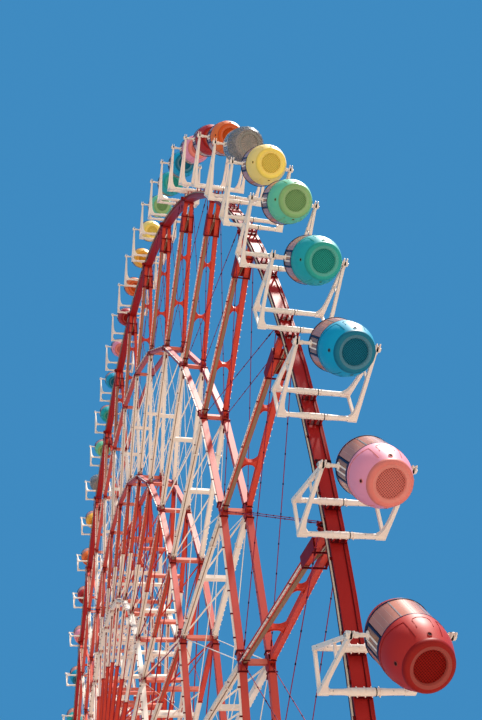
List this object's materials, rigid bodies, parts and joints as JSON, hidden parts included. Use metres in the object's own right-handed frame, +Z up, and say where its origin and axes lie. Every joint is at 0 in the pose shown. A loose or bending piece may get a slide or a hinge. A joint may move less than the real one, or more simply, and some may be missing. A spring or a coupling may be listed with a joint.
{
  "type": "fairground wheel, 1:10 scale model",
  "caption": "Fairground wheel with barrel cabins that stay level in open carriers round a box rim, on battened spokes, a hub and splayed legs.",
  "frame": {"origin": "on the ground below the hub, centre of the four footings", "axes": "+Z up, Y along the axle, X in the plane of the wheel"},
  "size_m": [10.1796, 3.22, 10.8798],
  "materials": {
    "red_paint": "satin",
    "white_paint": "satin",
    "steel": "satin",
    "concrete": "matte",
    "cabin_red": "gloss",
    "cabin_pink": "gloss",
    "cabin_blue": "gloss",
    "cabin_teal": "gloss",
    "cabin_green": "gloss",
    "cabin_yellow": "gloss",
    "cabin_golden": "gloss",
    "cabin_orange": "gloss"
  },
  "bodies": {
    "support": {"axle": "steel", "front_legs": "white_paint", "back_legs": "white_paint", "footing_front_left": "concrete", "footing_front_right": "concrete", "footing_back_left": "concrete", "footing_back_right": "concrete"},
    "wheel": {"rim_with_carriers": "red_paint", "outer_truss": "red_paint", "middle_truss": "white_paint", "inner_truss": "red_paint", "hub": "red_paint"},
    "cabin_00_body": {"cabin_00": "cabin_red"},
    "cabin_01_body": {"cabin_01": "cabin_pink"},
    "cabin_02_body": {"cabin_02": "cabin_blue"},
    "cabin_04_body": {"cabin_04": "cabin_green"},
    "cabin_05_body": {"cabin_05": "cabin_yellow"},
    "cabin_06_body": {"cabin_06": "cabin_golden"},
    "cabin_08_body": {"cabin_08": "cabin_red"},
    "cabin_09_body": {"cabin_09": "cabin_pink"},
    "cabin_10_body": {"cabin_10": "cabin_blue"},
    "cabin_12_body": {"cabin_12": "cabin_green"},
    "cabin_13_body": {"cabin_13": "cabin_yellow"},
    "cabin_14_body": {"cabin_14": "cabin_golden"},
    "cabin_16_body": {"cabin_16": "cabin_red"},
    "cabin_17_body": {"cabin_17": "cabin_pink"},
    "cabin_18_body": {"cabin_18": "cabin_blue"},
    "cabin_20_body": {"cabin_20": "cabin_green"},
    "cabin_21_body": {"cabin_21": "cabin_yellow"},
    "cabin_22_body": {"cabin_22": "cabin_golden"},
    "cabin_24_body": {"cabin_24": "cabin_red"},
    "cabin_25_body": {"cabin_25": "cabin_pink"},
    "cabin_26_body": {"cabin_26": "cabin_blue"},
    "cabin_28_body": {"cabin_28": "cabin_green"},
    "cabin_29_body": {"cabin_29": "cabin_yellow"},
    "cabin_30_body": {"cabin_30": "cabin_golden"},
    "cabin_32_body": {"cabin_32": "cabin_red"},
    "cabin_33_body": {"cabin_33": "cabin_pink"},
    "cabin_34_body": {"cabin_34": "cabin_blue"},
    "cabin_36_body": {"cabin_36": "cabin_green"},
    "cabin_37_body": {"cabin_37": "cabin_yellow"},
    "cabin_38_body": {"cabin_38": "cabin_golden"},
    "cabin_40_body": {"cabin_40": "cabin_red"},
    "cabin_41_body": {"cabin_41": "cabin_pink"},
    "cabin_42_body": {"cabin_42": "cabin_blue"},
    "cabin_44_body": {"cabin_44": "cabin_green"},
    "cabin_45_body": {"cabin_45": "cabin_yellow"},
    "cabin_46_body": {"cabin_46": "cabin_golden"},
    "cabin_48_body": {"cabin_48": "cabin_red"},
    "cabin_49_body": {"cabin_49": "cabin_pink"},
    "cabin_50_body": {"cabin_50": "cabin_blue"},
    "cabin_52_body": {"cabin_52": "cabin_green"},
    "cabin_53_body": {"cabin_53": "cabin_yellow"},
    "cabin_54_body": {"cabin_54": "cabin_golden"},
    "cabin_56_body": {"cabin_56": "cabin_red"},
    "cabin_57_body": {"cabin_57": "cabin_pink"},
    "cabin_58_body": {"cabin_58": "cabin_blue"},
    "cabin_60_body": {"cabin_60": "cabin_green"},
    "cabin_61_body": {"cabin_61": "cabin_yellow"},
    "cabin_62_body": {"cabin_62": "cabin_golden"}
  },
  "joints": [
    {"name": "wheel_turn", "type": "hinge", "parent": "support", "child": "wheel", "pos_m": [0, 0, 5.8], "axis": [0, 1, 0], "continuous": true},
    {"name": "cabin_00_swing", "type": "hinge", "parent": "wheel", "child": "cabin_00_body", "pos_m": [3.42909, 0, 2.16114], "axis": [0, 1, 0], "continuous": true},
    {"name": "cabin_01_swing", "type": "hinge", "parent": "wheel", "child": "cabin_01_body", "pos_m": [3.76925, 0, 2.51477], "axis": [0, 1, 0], "continuous": true},
    {"name": "cabin_02_swing", "type": "hinge", "parent": "wheel", "child": "cabin_02_body", "pos_m": [4.07311, 0, 2.90004], "axis": [0, 1, 0], "continuous": true},
    {"name": "cabin_04_swing", "type": "hinge", "parent": "wheel", "child": "cabin_04_body", "pos_m": [4.5606, 0, 3.75039], "axis": [0, 1, 0], "continuous": true},
    {"name": "cabin_05_swing", "type": "hinge", "parent": "wheel", "child": "cabin_05_body", "pos_m": [4.73954, 0, 4.20727], "axis": [0, 1, 0], "continuous": true},
    {"name": "cabin_06_swing", "type": "hinge", "parent": "wheel", "child": "cabin_06_body", "pos_m": [4.87283, 0, 4.6795], "axis": [0, 1, 0], "continuous": true},
    {"name": "cabin_08_swing", "type": "hinge", "parent": "wheel", "child": "cabin_08_body", "pos_m": [4.9978, 0, 5.65167], "axis": [0, 1, 0], "continuous": true},
    {"name": "cabin_09_swing", "type": "hinge", "parent": "wheel", "child": "cabin_09_body", "pos_m": [4.98827, 0, 6.14225], "axis": [0, 1, 0], "continuous": true},
    {"name": "cabin_10_swing", "type": "hinge", "parent": "wheel", "child": "cabin_10_body", "pos_m": [4.93071, 0, 6.62954], "axis": [0, 1, 0], "continuous": true},
    {"name": "cabin_12_swing", "type": "hinge", "parent": "wheel", "child": "cabin_12_body", "pos_m": [4.67413, 0, 7.57554], "axis": [0, 1, 0], "continuous": true},
    {"name": "cabin_13_swing", "type": "hinge", "parent": "wheel", "child": "cabin_13_body", "pos_m": [4.47759, 0, 8.02513], "axis": [0, 1, 0], "continuous": true},
    {"name": "cabin_14_swing", "type": "hinge", "parent": "wheel", "child": "cabin_14_body", "pos_m": [4.23793, 0, 8.4533], "axis": [0, 1, 0], "continuous": true},
    {"name": "cabin_16_swing", "type": "hinge", "parent": "wheel", "child": "cabin_16_body", "pos_m": [3.63886, 0, 9.22909], "axis": [0, 1, 0], "continuous": true},
    {"name": "cabin_17_swing", "type": "hinge", "parent": "wheel", "child": "cabin_17_body", "pos_m": [3.28523, 0, 9.56925], "axis": [0, 1, 0], "continuous": true},
    {"name": "cabin_18_swing", "type": "hinge", "parent": "wheel", "child": "cabin_18_body", "pos_m": [2.89996, 0, 9.87311], "axis": [0, 1, 0], "continuous": true},
    {"name": "cabin_20_swing", "type": "hinge", "parent": "wheel", "child": "cabin_20_body", "pos_m": [2.04962, 0, 10.3606], "axis": [0, 1, 0], "continuous": true},
    {"name": "cabin_21_swing", "type": "hinge", "parent": "wheel", "child": "cabin_21_body", "pos_m": [1.59273, 0, 10.53954], "axis": [0, 1, 0], "continuous": true},
    {"name": "cabin_22_swing", "type": "hinge", "parent": "wheel", "child": "cabin_22_body", "pos_m": [1.1205, 0, 10.67283], "axis": [0, 1, 0], "continuous": true},
    {"name": "cabin_24_swing", "type": "hinge", "parent": "wheel", "child": "cabin_24_body", "pos_m": [0.14833, 0, 10.7978], "axis": [0, 1, 0], "continuous": true},
    {"name": "cabin_25_swing", "type": "hinge", "parent": "wheel", "child": "cabin_25_body", "pos_m": [-0.34225, 0, 10.78827], "axis": [0, 1, 0], "continuous": true},
    {"name": "cabin_26_swing", "type": "hinge", "parent": "wheel", "child": "cabin_26_body", "pos_m": [-0.82954, 0, 10.73071], "axis": [0, 1, 0], "continuous": true},
    {"name": "cabin_28_swing", "type": "hinge", "parent": "wheel", "child": "cabin_28_body", "pos_m": [-1.77554, 0, 10.47413], "axis": [0, 1, 0], "continuous": true},
    {"name": "cabin_29_swing", "type": "hinge", "parent": "wheel", "child": "cabin_29_body", "pos_m": [-2.22513, 0, 10.27759], "axis": [0, 1, 0], "continuous": true},
    {"name": "cabin_30_swing", "type": "hinge", "parent": "wheel", "child": "cabin_30_body", "pos_m": [-2.6533, 0, 10.03793], "axis": [0, 1, 0], "continuous": true},
    {"name": "cabin_32_swing", "type": "hinge", "parent": "wheel", "child": "cabin_32_body", "pos_m": [-3.42909, 0, 9.43886], "axis": [0, 1, 0], "continuous": true},
    {"name": "cabin_33_swing", "type": "hinge", "parent": "wheel", "child": "cabin_33_body", "pos_m": [-3.76925, 0, 9.08523], "axis": [0, 1, 0], "continuous": true},
    {"name": "cabin_34_swing", "type": "hinge", "parent": "wheel", "child": "cabin_34_body", "pos_m": [-4.07311, 0, 8.69996], "axis": [0, 1, 0], "continuous": true},
    {"name": "cabin_36_swing", "type": "hinge", "parent": "wheel", "child": "cabin_36_body", "pos_m": [-4.5606, 0, 7.84962], "axis": [0, 1, 0], "continuous": true},
    {"name": "cabin_37_swing", "type": "hinge", "parent": "wheel", "child": "cabin_37_body", "pos_m": [-4.73954, 0, 7.39273], "axis": [0, 1, 0], "continuous": true},
    {"name": "cabin_38_swing", "type": "hinge", "parent": "wheel", "child": "cabin_38_body", "pos_m": [-4.87283, 0, 6.9205], "axis": [0, 1, 0], "continuous": true},
    {"name": "cabin_40_swing", "type": "hinge", "parent": "wheel", "child": "cabin_40_body", "pos_m": [-4.9978, 0, 5.94833], "axis": [0, 1, 0], "continuous": true},
    {"name": "cabin_41_swing", "type": "hinge", "parent": "wheel", "child": "cabin_41_body", "pos_m": [-4.98827, 0, 5.45775], "axis": [0, 1, 0], "continuous": true},
    {"name": "cabin_42_swing", "type": "hinge", "parent": "wheel", "child": "cabin_42_body", "pos_m": [-4.93071, 0, 4.97046], "axis": [0, 1, 0], "continuous": true},
    {"name": "cabin_44_swing", "type": "hinge", "parent": "wheel", "child": "cabin_44_body", "pos_m": [-4.67413, 0, 4.02447], "axis": [0, 1, 0], "continuous": true},
    {"name": "cabin_45_swing", "type": "hinge", "parent": "wheel", "child": "cabin_45_body", "pos_m": [-4.47759, 0, 3.57487], "axis": [0, 1, 0], "continuous": true},
    {"name": "cabin_46_swing", "type": "hinge", "parent": "wheel", "child": "cabin_46_body", "pos_m": [-4.23793, 0, 3.1467], "axis": [0, 1, 0], "continuous": true},
    {"name": "cabin_48_swing", "type": "hinge", "parent": "wheel", "child": "cabin_48_body", "pos_m": [-3.63886, 0, 2.37091], "axis": [0, 1, 0], "continuous": true},
    {"name": "cabin_49_swing", "type": "hinge", "parent": "wheel", "child": "cabin_49_body", "pos_m": [-3.28523, 0, 2.03075], "axis": [0, 1, 0], "continuous": true},
    {"name": "cabin_50_swing", "type": "hinge", "parent": "wheel", "child": "cabin_50_body", "pos_m": [-2.89996, 0, 1.72689], "axis": [0, 1, 0], "continuous": true},
    {"name": "cabin_52_swing", "type": "hinge", "parent": "wheel", "child": "cabin_52_body", "pos_m": [-2.04962, 0, 1.2394], "axis": [0, 1, 0], "continuous": true},
    {"name": "cabin_53_swing", "type": "hinge", "parent": "wheel", "child": "cabin_53_body", "pos_m": [-1.59273, 0, 1.06046], "axis": [0, 1, 0], "continuous": true},
    {"name": "cabin_54_swing", "type": "hinge", "parent": "wheel", "child": "cabin_54_body", "pos_m": [-1.1205, 0, 0.92717], "axis": [0, 1, 0], "continuous": true},
    {"name": "cabin_56_swing", "type": "hinge", "parent": "wheel", "child": "cabin_56_body", "pos_m": [-0.14833, 0, 0.8022], "axis": [0, 1, 0], "continuous": true},
    {"name": "cabin_57_swing", "type": "hinge", "parent": "wheel", "child": "cabin_57_body", "pos_m": [0.34225, 0, 0.81173], "axis": [0, 1, 0], "continuous": true},
    {"name": "cabin_58_swing", "type": "hinge", "parent": "wheel", "child": "cabin_58_body", "pos_m": [0.82954, 0, 0.86929], "axis": [0, 1, 0], "continuous": true},
    {"name": "cabin_60_swing", "type": "hinge", "parent": "wheel", "child": "cabin_60_body", "pos_m": [1.77554, 0, 1.12587], "axis": [0, 1, 0], "continuous": true},
    {"name": "cabin_61_swing", "type": "hinge", "parent": "wheel", "child": "cabin_61_body", "pos_m": [2.22513, 0, 1.32241], "axis": [0, 1, 0], "continuous": true},
    {"name": "cabin_62_swing", "type": "hinge", "parent": "wheel", "child": "cabin_62_body", "pos_m": [2.6533, 0, 1.56207], "axis": [0, 1, 0], "continuous": true}
  ],
  "couplings": [
    {"joint": "cabin_00_swing", "follows": "wheel_turn", "ratio": -1},
    {"joint": "cabin_01_swing", "follows": "wheel_turn", "ratio": -1},
    {"joint": "cabin_02_swing", "follows": "wheel_turn", "ratio": -1},
    {"joint": "cabin_04_swing", "follows": "wheel_turn", "ratio": -1},
    {"joint": "cabin_05_swing", "follows": "wheel_turn", "ratio": -1},
    {"joint": "cabin_06_swing", "follows": "wheel_turn", "ratio": -1},
    {"joint": "cabin_08_swing", "follows": "wheel_turn", "ratio": -1},
    {"joint": "cabin_09_swing", "follows": "wheel_turn", "ratio": -1},
    {"joint": "cabin_10_swing", "follows": "wheel_turn", "ratio": -1},
    {"joint": "cabin_12_swing", "follows": "wheel_turn", "ratio": -1},
    {"joint": "cabin_13_swing", "follows": "wheel_turn", "ratio": -1},
    {"joint": "cabin_14_swing", "follows": "wheel_turn", "ratio": -1},
    {"joint": "cabin_16_swing", "follows": "wheel_turn", "ratio": -1},
    {"joint": "cabin_17_swing", "follows": "wheel_turn", "ratio": -1},
    {"joint": "cabin_18_swing", "follows": "wheel_turn", "ratio": -1},
    {"joint": "cabin_20_swing", "follows": "wheel_turn", "ratio": -1},
    {"joint": "cabin_21_swing", "follows": "wheel_turn", "ratio": -1},
    {"joint": "cabin_22_swing", "follows": "wheel_turn", "ratio": -1},
    {"joint": "cabin_24_swing", "follows": "wheel_turn", "ratio": -1},
    {"joint": "cabin_25_swing", "follows": "wheel_turn", "ratio": -1},
    {"joint": "cabin_26_swing", "follows": "wheel_turn", "ratio": -1},
    {"joint": "cabin_28_swing", "follows": "wheel_turn", "ratio": -1},
    {"joint": "cabin_29_swing", "follows": "wheel_turn", "ratio": -1},
    {"joint": "cabin_30_swing", "follows": "wheel_turn", "ratio": -1},
    {"joint": "cabin_32_swing", "follows": "wheel_turn", "ratio": -1},
    {"joint": "cabin_33_swing", "follows": "wheel_turn", "ratio": -1},
    {"joint": "cabin_34_swing", "follows": "wheel_turn", "ratio": -1},
    {"joint": "cabin_36_swing", "follows": "wheel_turn", "ratio": -1},
    {"joint": "cabin_37_swing", "follows": "wheel_turn", "ratio": -1},
    {"joint": "cabin_38_swing", "follows": "wheel_turn", "ratio": -1},
    {"joint": "cabin_40_swing", "follows": "wheel_turn", "ratio": -1},
    {"joint": "cabin_41_swing", "follows": "wheel_turn", "ratio": -1},
    {"joint": "cabin_42_swing", "follows": "wheel_turn", "ratio": -1},
    {"joint": "cabin_44_swing", "follows": "wheel_turn", "ratio": -1},
    {"joint": "cabin_45_swing", "follows": "wheel_turn", "ratio": -1},
    {"joint": "cabin_46_swing", "follows": "wheel_turn", "ratio": -1},
    {"joint": "cabin_48_swing", "follows": "wheel_turn", "ratio": -1},
    {"joint": "cabin_49_swing", "follows": "wheel_turn", "ratio": -1},
    {"joint": "cabin_50_swing", "follows": "wheel_turn", "ratio": -1},
    {"joint": "cabin_52_swing", "follows": "wheel_turn", "ratio": -1},
    {"joint": "cabin_53_swing", "follows": "wheel_turn", "ratio": -1},
    {"joint": "cabin_54_swing", "follows": "wheel_turn", "ratio": -1},
    {"joint": "cabin_56_swing", "follows": "wheel_turn", "ratio": -1},
    {"joint": "cabin_57_swing", "follows": "wheel_turn", "ratio": -1},
    {"joint": "cabin_58_swing", "follows": "wheel_turn", "ratio": -1},
    {"joint": "cabin_60_swing", "follows": "wheel_turn", "ratio": -1},
    {"joint": "cabin_61_swing", "follows": "wheel_turn", "ratio": -1},
    {"joint": "cabin_62_swing", "follows": "wheel_turn", "ratio": -1}
  ]
}
